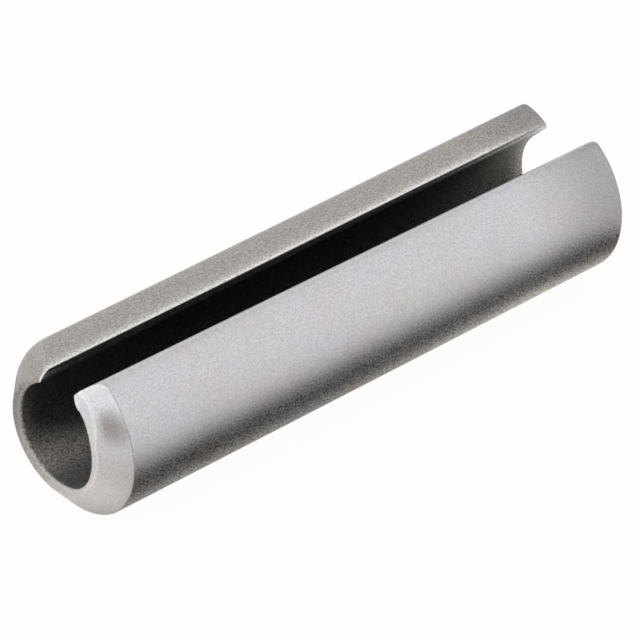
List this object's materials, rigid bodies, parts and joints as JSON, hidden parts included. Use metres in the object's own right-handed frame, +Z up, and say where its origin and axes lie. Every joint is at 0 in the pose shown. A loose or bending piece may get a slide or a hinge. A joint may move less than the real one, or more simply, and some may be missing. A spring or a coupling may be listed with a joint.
{
  "type": "slotted spring pin",
  "caption": "Slotted spring pin of rolled spring steel, an open-seamed tube with one chamfered entry end and one square-cut end.",
  "frame": {"origin": "on the floor under the middle of the pin, which lies on its side with the slot up", "axes": "+X along the pin from the chamfered entry end to the square-cut end, +Z up through the slot, +Y across the slot"},
  "size_m": [0.04, 0.0106, 0.0097],
  "materials": {
    "spring_steel": "satin grey spring steel with a fine matte grain, uncoated"
  },
  "bodies": {
    "root": {"spring_pin": "spring_steel"}
  },
  "joints": []
}
